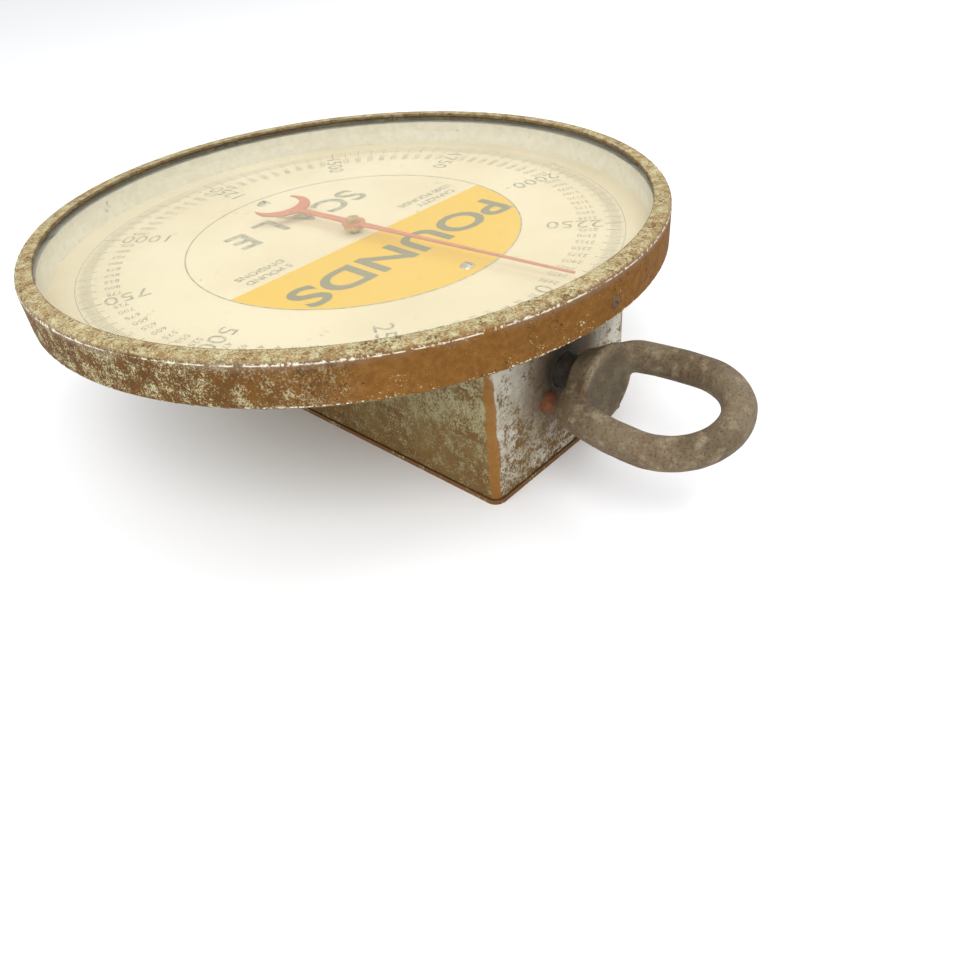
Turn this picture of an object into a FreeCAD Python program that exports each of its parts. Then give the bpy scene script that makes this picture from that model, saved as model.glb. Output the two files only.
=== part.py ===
import FreeCAD, Part
import math
import os
import re
import Sketcher

from FreeCAD import Placement, Rotation, Vector

# Round-dial crane scale lying on its back: +Z comes out of the dial, +Y points to the top eye, and the
# origin is on the dial's axis at the back cover's outer face. Millimetres and degrees.

os.makedirs("parts", exist_ok=True)
doc = FreeCAD.newDocument("crane_scale")

# ---------------------------------------------------------------- driving dimensions
driving = {
    # bezel and dial case
    "rimRadius": 208.7, "caseDepth": 29.0, "bandHeight": 26.3, "lipWidth": 11.2, "lipThick": 2.0,
    "bezelWall": 1.6, "rimFillet": 4.0, "caseGap": 0.2, "panWall": 1.8, "panFloor": 2.0,
    "glassThick": 4.0, "gasketThick": 1.0, "edgeGap": 0.5, "ringWall": 1.5,
    "dialStand": 2.5, "dialThick": 1.5, "dialScrewCircle": 102.0, "dialScrewHead": 4.8,
    "dialScrewRise": 2.4, "arborHole": 3.4, "bandScrewRise": 8.3, "bandScrewHead": 3.6,
    "bandScrewDome": 2.0, "bandScrewShank": 2.0, "bandScrewCount": 3,
    # box housing and its cover
    "boxWidth": 134.5, "boxLength": 348.8, "boxTop": 104.0, "boxWall": 3.0, "boxBend": 6.0,
    "flangeWidth": 16.0, "coverThick": 3.5, "coverLap": 1.2, "webHole": 22.0,
    "coverScrewShank": 2.5, "coverScrewHead": 5.0, "coverScrewSink": 2.0,
    "caseScrewShank": 2.5, "caseScrewHead": 4.5, "caseScrewRise": 1.8,
    # load path
    "axisDrop": 42.5, "blockGap": 4.25, "blockRise": 16.5, "blockDrop": 23.5, "upperBlockDepth": 28.0,
    "lowerBlockDepth": 24.0, "shankRadius": 11.0, "barRadius": 10.0, "bushWall": 3.0,
    "runGap": 0.05, "sealGap": 0.3, "sealWall": 1.2, "lowerSealWall": 2.2,
    "rodOffset": 37.0, "rodRadius": 8.0, "rodBite": 18.0, "rodNutRadius": 12.0, "rodNutHeight": 9.0,
    "endBoltAngle": 42.2, "endBoltGap": 3.55, "endBoltHead": 7.2, "endBoltRise": 6.0,
    "endBoltShank": 4.0, "endBoltBite": 14.0,
    "washerThick": 4.0, "washerRadius": 16.2, "nutRadius": 13.8, "nutHeight": 16.0,
    # springs and crosshead
    "wireRadius": 5.25, "coilRadius": 18.75, "coilTurns": 12.0, "springLength": 165.0,
    "crossDepth": 20.0, "loadTravel": 25.0, "stopGap": 0.3, "sleeveRadius": 12.6, "guideWall": 3.0,
    "collarRadius": 13.0, "collarDepth": 8.0,
    # forged eye and hook
    "bossNeck": 16.6, "bossRadius": 25.5, "bossStand": 12.6, "bossDepth": 20.0, "bossFloor": 4.0,
    "pinRadius": 3.0, "pinInset": 2.5, "eyeBar": 9.65, "eyeBase": 10.15, "eyeCorner": 14.3,
    "eyeBend": 35.5, "eyeReach": 60.8, "legBend": 193.0, "eyeTilt": 8.9,
    "hookBar": 11.0, "hookBowl": 30.0, "hookReach": 78.0, "hookTipAngle": 20.0,
    # movement
    "gearModule": 0.8, "pinionTeeth": 10.0, "pinionHeight": 8.0, "rackHeight": 6.0, "rackWidth": 8.0,
    "toothPlay": 0.05, "arborRadius": 2.0, "arborGap": 0.03, "plateThick": 3.0, "backPlateThick": 2.0,
    "pillarHeight": 11.5, "pillarRadius": 3.0, "pillarOut": 21.0, "pillarHigh": 8.0, "pillarLow": 13.0,
    "plateMargin": 5.0, "plateScrewOut": 26.0, "plateScrewUp": 30.0, "smallShank": 1.5,
    "smallHead": 3.0, "smallRise": 1.8, "smallBite": 5.5,
    "bushRadius": 5.0, "guideThick": 5.0, "guideGap": 0.1,
    "bracketThick": 4.0, "bracketGap": 1.5,
    # pointer
    "pointerRise": 6.3, "pointerThick": 1.0, "pointerGap": 26.0, "pointerRest": 5.1,
    "pointerTail": 2.6, "pointerRoot": 3.0, "pointerWaist": 1.6, "pointerTip": 0.8, "waistReach": 50.0,
    "pointerHub": 8.0, "tailReach": 69.5, "tailRound": 20.0, "tailBite": 7.5, "tailHollow": 17.5,
    "hubDepth": 3.0, "pointerNut": 5.0, "pointerNutHeight": 3.0,
}

sheet = doc.addObject("Spreadsheet::Sheet", "sizes")
for row, (name, value) in enumerate(driving.items(), start=1):
    sheet.set("A%d" % row, name)
    sheet.set("B%d" % row, str(value))
    sheet.setAlias("B%d" % row, name)
doc.recompute()

# Places worked out from the driving dimensions.
worked = {
    "bezelTop": "(boxTop + caseDepth)",
    "bandLow": "(bezelTop - bandHeight)",
    "bandScrewHeight": "(bandLow + bandScrewRise)",
    "panOuter": "(rimRadius - bezelWall - caseGap)",
    "panInner": "(panOuter - panWall)",
    "lipInner": "(rimRadius - lipWidth)",
    "glassTop": "(bezelTop - lipThick - gasketThick)",
    "glassLow": "(glassTop - glassThick)",
    "glassRadius": "(panInner - edgeGap)",
    "floorTop": "(boxTop + panFloor)",
    "dialLow": "(floorTop + dialStand)",
    "dialTop": "(dialLow + dialThick)",
    "ringInner": "(lipInner + edgeGap)",
    "halfWidth": "(boxWidth / 2)",
    "halfLength": "(boxLength / 2)",
    "innerEnd": "(halfLength - boxWall)",
    "webLow": "(boxTop - boxWall)",
    "flangeTop": "(coverThick + boxWall)",
    "flangeMiddle": "((flangeWidth + boxWall) / 2)",
    "axisHeight": "(boxTop - axisDrop)",
    "blockHalf": "(halfWidth - boxWall - blockGap)",
    "blockLow": "(axisHeight - blockDrop)",
    "blockTop": "(axisHeight + blockRise)",
    "upperFace": "(innerEnd - upperBlockDepth)",
    "lowerFace": "(lowerBlockDepth - innerEnd)",
    "crossLow": "(lowerFace + springLength)",
    "crossTop": "(crossLow + crossDepth)",
    "guideHole": "(rodRadius + runGap + guideWall)",
    "shankHole": "(shankRadius + runGap)",
    "barHole": "(barRadius + runGap)",
    "endHole": "(shankRadius + sealGap + sealWall)",
    "lowerEndHole": "(barRadius + sealGap + lowerSealWall)",
    "boltCircle": "(shankHole + bushWall + endBoltShank + endBoltGap)",
    "boltOut": "(boltCircle * cos(endBoltAngle * 1 deg))",
    "boltHeight": "(axisHeight - boltCircle * sin(endBoltAngle * 1 deg))",
    "bossStart": "(halfLength + bossStand)",
    "bossEnd": "(bossStart + bossDepth)",
    "bossMiddle": "(bossStart + bossDepth / 2)",
    "shaftEnd": "(bossEnd - bossFloor)",
    "bossMean": "((bossNeck + bossRadius) / 2)",
    "eyeBaseLine": "(bossStart + eyeBase)",
    "eyeCentre": "(bossStart + eyeReach)",
    "hookCentre": "(bossStart + hookReach)",
    "plateLow": "(webLow - plateThick)",
    "backPlateTop": "(plateLow - pillarHeight)",
    "backPlateLow": "(backPlateTop - backPlateThick)",
    "pitchRadius": "(gearModule * pinionTeeth / 2)",
    "pinionLow": "(backPlateTop + (pillarHeight - pinionHeight) / 2)",
    "rackLow": "(backPlateTop + (pillarHeight - rackHeight) / 2)",
    "rackTop": "(rackLow + rackHeight)",
    "rackBack": "(pitchRadius + rackWidth)",
    "uprightLow": "(pillarHigh + plateMargin + loadTravel + bracketGap)",
    "uprightHigh": "(uprightLow + bracketThick)",
    "footTop": "(blockTop + bracketThick)",
    "arborLow": "(backPlateLow - 1)",
    "pointerLow": "(dialTop + pointerRise)",
    "pointerTop": "(pointerLow + pointerThick)",
    "pointerReach": "(ringInner - pointerGap)",
    "tailStart": "(tailRound - tailReach - 4)",
    "smallReach": "(bracketThick + smallBite)",
}


def formula(text):
    """Write a formula in the words of the two tables as one on the sheet's cells."""
    text = str(text)
    while any(word in worked for word in re.findall("[A-Za-z]+", text)):
        text = re.sub("[A-Za-z]+", lambda word: worked.get(word.group(), word.group()), text)
    return re.sub("[A-Za-z]+", lambda word: "sizes." + word.group() if word.group() in driving
                  else word.group(), text)


def number(text):
    """The value of a formula, for a first drawing and for shapes made by Part's own functions."""
    value = sheet.evalExpression(formula(text))
    return float(getattr(value, "Value", value))


def bind(item, path, text):
    item.setExpression(path, formula(text))


# ---------------------------------------------------------------- PartDesign helpers
planes = {"XY": ("XY_Plane", 1), "XZ": ("XZ_Plane", -1), "YZ": ("YZ_Plane", 1)}
finished = []


def newBody(label):
    body = doc.addObject("PartDesign::Body", label)
    body.Label = label
    finished.append(body)
    return body


def originOf(body, role):
    return next(item for item in body.Origin.OriginFeatures if item.Role == role)


def newSketch(body, plane, at="0"):
    """A sketch on one of the body's own origin planes, moved along the plane's axis to at."""
    role, side = planes[plane]
    sketch = body.newObject("Sketcher::SketchObject", body.Label + "_sketch")
    sketch.AttachmentSupport = (originOf(body, role), [""])
    sketch.MapMode = "FlatFace"
    bind(sketch, "AttachmentOffset.Base.z", "%d * (%s)" % (side, at))
    sketch.Visibility = False
    return sketch


def fix(sketch, index, point, x, y):
    """Hold one point of a sketch at formulas x and y."""
    for kind, text in (("DistanceX", x), ("DistanceY", y)):
        made = sketch.addConstraint(Sketcher.Constraint(kind, -1, 1, index, point, number(text)))
        bind(sketch, "Constraints[%d]" % made, text)


def fixRadius(sketch, index, radius):
    made = sketch.addConstraint(Sketcher.Constraint("Radius", index, number(radius)))
    bind(sketch, "Constraints[%d]" % made, radius)


def circle(sketch, radius, x="0", y="0"):
    centre = Vector(number(x), number(y), 0)
    index = sketch.addGeometry(Part.Circle(centre, Vector(0, 0, 1), number(radius)), False)
    fix(sketch, index, 3, x, y)
    fixRadius(sketch, index, radius)


def arc(sketch, radius, x, y, start, end):
    """An arc held by its centre and by its two end points, which are at two angles."""
    ring = Part.Circle(Vector(number(x), number(y), 0), Vector(0, 0, 1), number(radius))
    shape = Part.ArcOfCircle(ring, math.radians(number(start)), math.radians(number(end)))
    index = sketch.addGeometry(shape, False)
    fix(sketch, index, 3, x, y)
    fix(sketch, index, 1, "%s + %s * cos(%s)" % (x, radius, start), "%s + %s * sin(%s)" % (y, radius, start))
    # near the top or the foot of its circle an end point is held sideways, elsewhere by its height
    upright = abs(math.sin(math.radians(number(end)))) > 0.8
    kind, text = (("DistanceX", "%s + %s * cos(%s)" % (x, radius, end)) if upright else
                  ("DistanceY", "%s + %s * sin(%s)" % (y, radius, end)))
    made = sketch.addConstraint(Sketcher.Constraint(kind, -1, 1, index, 2, number(text)))
    bind(sketch, "Constraints[%d]" % made, text)


def outline(sketch, corners):
    """A closed outline of straight edges; corners are pairs of formulas."""
    points = [Vector(number(x), number(y), 0) for x, y in corners]
    count, first = len(points), sketch.GeometryCount
    for k in range(count):
        sketch.addGeometry(Part.LineSegment(points[k], points[(k + 1) % count]), False)
    for k in range(count):
        sketch.addConstraint(Sketcher.Constraint("Coincident", first + k, 2, first + (k + 1) % count, 1))
        fix(sketch, first + k, 1, *corners[k])


def rectangle(sketch, left, low, right, high):
    outline(sketch, [(left, low), (right, low), (right, high), (left, high)])


def volumeOf(body):
    return 0.0 if body.Shape.isNull() else body.Shape.Volume


def addFeature(body, kind, profile, grows, **settings):
    """Add a sketch-based feature and make sure that it adds or removes material."""
    before = volumeOf(body)
    feature = body.newObject("PartDesign::" + kind, body.Label + "_" + kind.lower())
    feature.Profile = profile
    for name, value in settings.items():
        if isinstance(value, str) and name in ("Length", "Height", "Turns"):
            bind(feature, name, value)
        else:
            setattr(feature, name, value)
    doc.recompute()
    change = volumeOf(body) - before
    if (change if grows else -change) <= 1e-6:
        raise RuntimeError("%s changed nothing on %s" % (kind, body.Label))
    return feature


def pad(body, plane, low, high, draw):
    """Add material from low to high along the plane's axis."""
    sketch = newSketch(body, plane, low)
    draw(sketch)
    return addFeature(body, "Pad", sketch, True, Length="(%s) - (%s)" % (high, low), Reversed=plane == "XZ")


def pocket(body, plane, low, high, draw):
    """Cut material from low to high along the plane's axis."""
    sketch = newSketch(body, plane, low)
    draw(sketch)
    return addFeature(body, "Pocket", sketch, False, Length="(%s) - (%s)" % (high, low),
                      Reversed=plane != "XZ")


def revolve(body, corners, plane="XZ"):
    """Turn an outline once round the upright axis of its plane."""
    sketch = newSketch(body, plane)
    outline(sketch, corners)
    return addFeature(body, "Revolution", sketch, True, ReferenceAxis=(sketch, ["V_Axis"]), Angle=360)


def repeatRound(body, feature, count):
    """Repeat a feature evenly round Z."""
    pattern = body.newObject("PartDesign::PolarPattern", body.Label + "_pattern")
    pattern.Originals = [feature]
    pattern.Axis = (originOf(body, "Z_Axis"), [""])
    pattern.Angle = 360
    bind(pattern, "Occurrences", count)
    body.Tip = pattern
    doc.recompute()


def roundEdges(body, radius, chosen):
    """Fillet the edges of the body's tip that the test chosen picks."""
    tip = body.Tip
    names = ["Edge%d" % (k + 1) for k, edge in enumerate(tip.Shape.Edges) if chosen(edge)]
    if not names:
        raise RuntimeError("no edge to round on " + body.Label)
    feature = body.newObject("PartDesign::Fillet", body.Label + "_fillet")
    feature.Base = (tip, names)
    bind(feature, "Radius", radius)
    doc.recompute()


def ringEdge(radius, height, letter="z"):
    """Picks full circles of one radius at one height along an axis."""
    def chosen(edge):
        curve = edge.Curve
        return (isinstance(curve, Part.Circle) and abs(curve.Radius - number(radius)) < 1e-4
                and abs(getattr(curve.Center, letter) - number(height)) < 1e-4)
    return chosen


def uprightCorner(edge):
    """Picks straight edges along Z."""
    box = edge.BoundBox
    return box.XLength + box.YLength < 1e-6 and box.ZLength > 1


def sweepBar(body, path, radius):
    """A round bar along a path sketch of tangent arcs."""
    section = body.newObject("Sketcher::SketchObject", body.Label + "_section")
    section.AttachmentSupport = (path, ["Edge1"])
    section.MapMode = "NormalToEdge"
    section.Visibility = False
    circle(section, radius)
    doc.recompute()
    edges = ["Edge%d" % (k + 1) for k in range(len(path.Shape.Edges))]
    return addFeature(body, "AdditivePipe", section, True, Spine=(path, edges))


# ---------------------------------------------------------------- Part helpers
turns = {
    "Z": Rotation(), "-Z": Rotation(Vector(1, 0, 0), 180),
    "Y": Rotation(Vector(1, 0, 0), -90), "-Y": Rotation(Vector(1, 0, 0), 90),
}


def place(item, x="0", y="0", z="0", turn=turns["Z"]):
    item.Placement = Placement(Vector(), turn)
    for letter, text in zip("xyz", (x, y, z)):
        bind(item, "Placement.Base." + letter, text)
    return item


def cylinder(radius, length, x="0", y="0", z="0", along="Z"):
    item = doc.addObject("Part::Cylinder", "cylinder")
    bind(item, "Radius", radius)
    bind(item, "Height", length)
    return place(item, x, y, z, turns[along])


def block(width, depth, height, x, y, z):
    item = doc.addObject("Part::Box", "block")
    for side, text in (("Length", width), ("Width", depth), ("Height", height)):
        bind(item, side, text)
    return place(item, x, y, z)


def hexagon(radius, length, x="0", y="0", z="0", along="Z"):
    """A six-sided bar; radius is to its corners."""
    item = doc.addObject("Part::Prism", "hexagon")
    item.Polygon = 6
    bind(item, "Circumradius", radius)
    bind(item, "Height", length)
    return place(item, x, y, z, turns[along])


def joined(shapes):
    item = doc.addObject("Part::MultiFuse", "joined")
    item.Shapes = shapes
    return item


def cut(base, tool):
    item = doc.addObject("Part::Cut", "cut")
    item.Base = base
    item.Tool = tool
    return item


def bored(shell, radius, length, x="0", y="0", z="0", along="Z"):
    """A shell with a hole whose cutter runs 1 past both of its ends."""
    spot = [x, y, z]
    slide = "XYZ".index(along)
    spot[slide] = "(%s) - 1" % spot[slide]
    return cut(shell, cylinder(radius, "(%s) + 2" % length, *spot, along))


def tube(outer, inner, length, x="0", y="0", z="0", along="Z"):
    return bored(cylinder(outer, length, x, y, z, along), inner, length, x, y, z, along)


def finish(item, label):
    item.Label = label
    finished.append(item)
    return item


def group(items, label):
    """One node of several separate solids."""
    item = doc.addObject("Part::Compound", label)
    item.Links = items
    return finish(item, label)


def slot(head, low):
    """The cutter for a screwdriver slot across a head."""
    return block("0.24 * (%s)" % head, "2.2 * (%s)" % head, "4",
                 "0 - 0.12 * (%s)" % head, "0 - 1.1 * (%s)" % head, low)


def domedScrew(head, rise, shank, reach, slotted=True):
    """A screw along +Z with its seat at the origin.

    The dome is the cap of a sphere whose radius is (head squared + rise squared) / (2 rise).
    """
    sphere = "((%s ^ 2 + %s ^ 2) / (2 * %s))" % (head, rise, rise)
    cap = doc.addObject("Part::Sphere", "cap")
    bind(cap, "Radius", sphere)
    bind(cap, "Angle1", "asin(1 - %s / %s)" % (rise, sphere))
    place(cap, z="%s - %s" % (rise, sphere))
    screw = joined([cap, cylinder(shank, reach, along="-Z")])
    return cut(screw, slot(head, "0.5 * %s" % rise)) if slotted else screw


def sunkScrew(head, sink, shank, reach):
    """A cheese-head screw along +Z in a counterbore of depth sink, whose mouth is at the origin."""
    top = cylinder(head, "%s - 0.2" % sink, z="0 - %s" % sink)
    screw = joined([top, cylinder(shank, "%s - 0.5" % reach, z="0 - 0.5", along="-Z")])
    return cut(screw, slot(head, "0 - 0.9"))


def holesAt(radius, spots):
    """Draws one circle at each spot of a sketch."""
    def draw(sketch):
        for x, y in spots:
            circle(sketch, radius, x, y)
    return draw


# ---------------------------------------------------------------- places shared by several pieces
middle = [("0", "0")]
onAxis = [("0", "axisHeight")]
coverScrewSpots = [("%d * (halfWidth - flangeMiddle)" % side, "%d * (halfLength - flangeMiddle)" % row)
                   for side in (-1, 1) for row in (-1, 0, 1)]
caseScrewSpots = [("%d * (halfWidth - 20)" % side, "%d * (halfLength / 2 + 15)" % row)
                  for side in (-1, 1) for row in (-1, 1)]
plateScrewSpots = [("%d * plateScrewOut" % side, "%d * plateScrewUp" % row)
                   for side in (-1, 1) for row in (-1, 1)]
pillarSpots = [("%d * pillarOut" % side, y) for side in (-1, 1) for y in ("pillarHigh", "0 - pillarLow")]
endBoltSpots = [("%d * boltOut" % side, "boltHeight") for side in (-1, 1)]
rodSpots = [("%d * rodOffset" % side, "axisHeight") for side in (-1, 1)]
dialScrewSpots = [("0", "%d * dialScrewCircle" % side) for side in (-1, 1)]
footSpots = [("pitchRadius", "crossLow + 7"), ("rackBack + 2", "crossLow + 7")]
rackScrewSpot = ("(rackBack + pitchRadius + gearModule) / 2", "(rackLow + rackTop) / 2")


def boxRectangle(inset):
    """Draws the box's plan, moved inward by an inset."""
    def draw(sketch):
        rectangle(sketch, "%s - halfWidth" % inset, "%s - halfLength" % inset,
                  "halfWidth - %s" % inset, "halfLength - %s" % inset)
    return draw


def blockRectangle(sketch):
    rectangle(sketch, "0 - blockHalf", "blockLow", "blockHalf", "blockTop")


# ---------------------------------------------------------------- box housing and back cover
def makeHousing():
    body = newBody("housing")
    pad(body, "XY", "coverThick", "boxTop", boxRectangle("0"))
    roundEdges(body, "boxBend", uprightCorner)
    pocket(body, "XY", "flangeTop", "webLow", boxRectangle("boxWall"))
    pocket(body, "XY", "coverThick", "flangeTop", boxRectangle("flangeWidth"))
    pocket(body, "XY", "webLow", "boxTop", holesAt("webHole", middle))
    pocket(body, "XY", "webLow", "boxTop", holesAt("caseScrewShank", caseScrewSpots))
    pocket(body, "XY", "webLow", "boxTop", holesAt("smallShank", plateScrewSpots))
    pocket(body, "XY", "coverThick", "flangeTop", holesAt("coverScrewShank", coverScrewSpots))
    for low, high, hole in (("innerEnd", "halfLength", "endHole"),
                            ("0 - halfLength", "0 - innerEnd", "lowerEndHole")):
        pocket(body, "XZ", low, high, holesAt(hole, onAxis))
        pocket(body, "XZ", low, high, holesAt("endBoltShank", endBoltSpots))


def makeBackCover():
    body = newBody("back_cover")
    pad(body, "XY", "0", "coverThick", boxRectangle("(0 - coverLap)"))
    roundEdges(body, "boxBend + coverLap", uprightCorner)
    pocket(body, "XY", "0", "coverThick", holesAt("coverScrewShank", coverScrewSpots))
    pocket(body, "XY", "0", "coverScrewSink", holesAt("coverScrewHead", coverScrewSpots))
    group([place(sunkScrew("coverScrewHead", "coverScrewSink", "coverScrewShank", "flangeTop"),
                 x, y, "0", turns["-Z"])
           for x, y in coverScrewSpots], "back_cover_screws")


# ---------------------------------------------------------------- dial case, bezel and glass
def makeDialCase():
    body = newBody("dial_case")
    revolve(body, [("webHole", "boxTop"), ("panOuter", "boxTop"), ("panOuter", "glassTop"),
                   ("panInner", "glassTop"), ("panInner", "floorTop"), ("webHole", "floorTop")])
    roundEdges(body, "panFloor", ringEdge("panOuter", "boxTop"))
    pocket(body, "XY", "boxTop", "floorTop", holesAt("caseScrewShank", caseScrewSpots))
    drillBand(body, "panInner - 2", "panOuter + 2")
    group([place(domedScrew("caseScrewHead", "caseScrewRise", "caseScrewShank", "panFloor + boxWall"),
                 x, y, "floorTop") for x, y in caseScrewSpots], "case_screws")


def drillBand(body, low, high):
    """Screw holes through the band, the first of them on the +Y side."""
    hole = pocket(body, "XZ", low, high, holesAt("bandScrewShank", [("0", "bandScrewHeight")]))
    repeatRound(body, hole, "bandScrewCount")


def makeBezel():
    body = newBody("bezel_ring")
    inner = "rimRadius - bezelWall"
    revolve(body, [("lipInner", "bezelTop - lipThick"), (inner, "bezelTop - lipThick"),
                   (inner, "bandLow"), ("rimRadius", "bandLow"), ("rimRadius", "bezelTop"),
                   ("lipInner", "bezelTop")])
    roundEdges(body, "rimFillet", ringEdge("rimRadius", "bezelTop"))
    drillBand(body, inner + " - 2", "rimRadius + 2")
    screws = []
    for k in range(driving["bandScrewCount"]):
        turn = 90 + 360 * k / driving["bandScrewCount"]
        facing = Rotation(Vector(0, 0, 1), turn - 90) * turns["Y"] * Rotation(Vector(0, 0, 1), 50)
        screw = domedScrew("bandScrewHead", "bandScrewDome", "bandScrewShank",
                           "bezelWall + caseGap + panWall")
        screws.append(place(screw, "rimRadius * cos(%s)" % turn,
                            "rimRadius * sin(%s)" % turn, "bandScrewHeight", facing))
    group(screws, "bezel_screws")


def makeGlass():
    finish(cylinder("glassRadius", "glassThick", z="glassLow"), "glass")
    finish(tube("glassRadius", "lipInner + 1", "gasketThick", z="glassTop"), "glass_gasket")
    body = newBody("spacer_ring")
    revolve(body, [("ringInner", "dialTop"), ("ringInner + ringWall", "dialTop"),
                   ("ringInner + ringWall", "glassLow - ringWall"), ("glassRadius", "glassLow - ringWall"),
                   ("glassRadius", "glassLow"), ("ringInner", "glassLow")])


def makeDial():
    body = newBody("dial_plate")
    pad(body, "XY", "dialLow", "dialTop", holesAt("glassRadius", middle))
    pocket(body, "XY", "dialLow", "dialTop", holesAt("arborHole", middle))
    pocket(body, "XY", "dialLow", "dialTop", holesAt("smallShank", dialScrewSpots))
    group([tube("dialScrewHead", "smallShank", "dialStand", x, y, "floorTop")
           for x, y in dialScrewSpots], "dial_standoffs")
    group([place(domedScrew("dialScrewHead", "dialScrewRise", "smallShank", "dialStand + dialThick"),
                 x, y, "dialTop") for x, y in dialScrewSpots], "dial_screws")


# ---------------------------------------------------------------- frame that carries the load
def makeBlock(label, low, high, face, biteLow, boltLow, hole):
    """An end block: a bush bore, two blind rod holes in its inner face and two bolt holes in its outer."""
    body = newBody(label)
    pad(body, "XZ", low, high, blockRectangle)
    pocket(body, "XZ", low, high, holesAt(hole, onAxis))
    pocket(body, "XZ", biteLow, biteLow + " + rodBite", holesAt("rodRadius", rodSpots))
    pocket(body, "XZ", boltLow, boltLow + " + endBoltBite", holesAt("endBoltShank", endBoltSpots))


def makeFrame():
    makeBlock("upper_block", "upperFace", "innerEnd", "upperFace", "upperFace",
              "innerEnd - endBoltBite", "shankHole + bushWall")
    makeBlock("lower_block", "0 - innerEnd", "lowerFace", "lowerFace", "lowerFace - rodBite",
              "0 - innerEnd", "barHole + bushWall")
    finish(tube("shankHole + bushWall", "shankHole", "upperBlockDepth", "0", "upperFace", "axisHeight", "Y"),
           "upper_bush")
    finish(tube("barHole + bushWall", "barHole", "lowerBlockDepth", "0", "0 - innerEnd", "axisHeight", "Y"),
           "lower_bush")
    finish(tube("endHole", "shankRadius + sealGap", "boxWall", "0", "innerEnd", "axisHeight", "Y"),
           "upper_seal")
    finish(tube("lowerEndHole", "barRadius + sealGap", "boxWall", "0", "0 - halfLength", "axisHeight",
                "Y"),
           "lower_seal")
    for side, (x, z) in zip(("left", "right"), rodSpots):
        finish(cylinder("rodRadius", "upperFace - lowerFace + 2 * rodBite", x, "lowerFace - rodBite", z,
                        "Y"), "tie_rod_" + side)
    nutLow = "upperFace - rodNutHeight"
    group([bored(hexagon("rodNutRadius", "rodNutHeight", x, nutLow, z, "Y"), "rodRadius",
                 "rodNutHeight", x, nutLow, z, "Y") for x, z in rodSpots], "rod_lock_nuts")
    group([tube("sleeveRadius", "rodRadius", "springLength - loadTravel - stopGap", x, "lowerFace", z, "Y")
           for x, z in rodSpots], "stop_sleeves")
    group([tube("collarRadius", "rodRadius", "collarDepth", x, "crossTop + stopGap", z, "Y")
           for x, z in rodSpots], "rest_collars")
    for label, y, along in (("upper_end_bolts", "halfLength", "Y"),
                            ("lower_end_bolts", "0 - halfLength", "-Y")):
        group([place(domedScrew("endBoltHead", "endBoltRise", "endBoltShank", "boxWall + endBoltBite",
                                slotted=False), x, y, z, turns[along]) for x, z in endBoltSpots], label)


# ---------------------------------------------------------------- springs and crosshead
def makeSprings():
    for side, (x, z) in zip(("left", "right"), rodSpots):
        body = newBody("load_spring_" + side)
        sketch = newSketch(body, "XZ")
        circle(sketch, "wireRadius", "coilRadius", "wireRadius")
        addFeature(body, "AdditiveHelix", sketch, True, ReferenceAxis=(sketch, ["V_Axis"]),
                   Mode="height-turns-angle", Height="springLength - 2 * wireRadius", Turns="coilTurns",
                   Angle=0)
        place(body, x, "lowerFace", z, turns["Y"])


def makeCrosshead():
    body = newBody("crosshead")
    pad(body, "XZ", "crossLow", "crossTop", blockRectangle)
    pocket(body, "XZ", "crossLow", "crossTop", holesAt("barHole", onAxis))
    pocket(body, "XZ", "crossLow", "crossTop", holesAt("guideHole", rodSpots))
    pocket(body, "XY", "footTop - smallReach", "blockTop", holesAt("smallShank", footSpots))
    group([tube("guideHole", "rodRadius + runGap", "crossDepth", x, "crossLow", z, "Y")
           for x, z in rodSpots], "guide_bushes")


# ---------------------------------------------------------------- rack and its bracket
def makeBracket():
    body = newBody("rack_bracket")
    pad(body, "XY", "blockTop", "footTop",
        lambda sketch: rectangle(sketch, "0 - 2", "crossLow + 2", "rackBack + 14", "uprightHigh"))
    pad(body, "XZ", "uprightLow", "uprightHigh",
        lambda sketch: rectangle(sketch, "pitchRadius", "blockTop + 1", "rackBack + 4", "rackTop + 1"))
    pocket(body, "XY", "blockTop", "footTop", holesAt("smallShank", footSpots))
    pocket(body, "XZ", "uprightLow", "uprightHigh", holesAt("smallShank", [rackScrewSpot]))
    group([place(domedScrew("smallHead", "smallRise", "smallShank", "smallReach"), x, y, "footTop")
           for x, y in footSpots], "rack_bracket_screws")
    screw = domedScrew("smallHead", "smallRise", "smallShank", "smallReach")
    finish(place(screw, rackScrewSpot[0], "uprightHigh", rackScrewSpot[1], turns["Y"]), "rack_screw")


def makeRack():
    """A bar with 20 degree teeth on its -X side, one of them centred on the pinion's axis at rest."""
    pitch = math.pi * number("gearModule")
    line = number("pitchRadius")
    slope = math.tan(math.radians(20))
    half = pitch / 4 - number("toothPlay")
    tip, root = line - 0.56 * number("gearModule"), line + 0.94 * number("gearModule")
    low, back, end = -4 * pitch, number("rackBack"), number("uprightLow")
    tooth = [(root, -half - (root - line) * slope), (tip, -half + (line - tip) * slope),
             (tip, half - (line - tip) * slope), (root, half + (root - line) * slope)]
    points = [(back, end), (back, low - pitch / 2), (root, low - pitch / 2)]
    for k in range(math.ceil(number("loadTravel") / pitch) + 8):
        points += [(x, low + k * pitch + y) for x, y in tooth]
    points.append((root, end))
    flat = [Vector(x, y, number("rackLow")) for x, y in points]
    solid = Part.Face(Part.makePolygon(flat + flat[:1])).extrude(Vector(0, 0, number("rackHeight")))
    x, z = (number(text) for text in rackScrewSpot)
    bore = Part.makeCylinder(number("smallShank"), number("smallReach"), Vector(x, number("uprightHigh"), z),
                             Vector(0, -1, 0))
    item = doc.addObject("Part::Feature", "rack")
    item.Shape = solid.cut(bore)
    finish(item, "rack")


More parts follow.
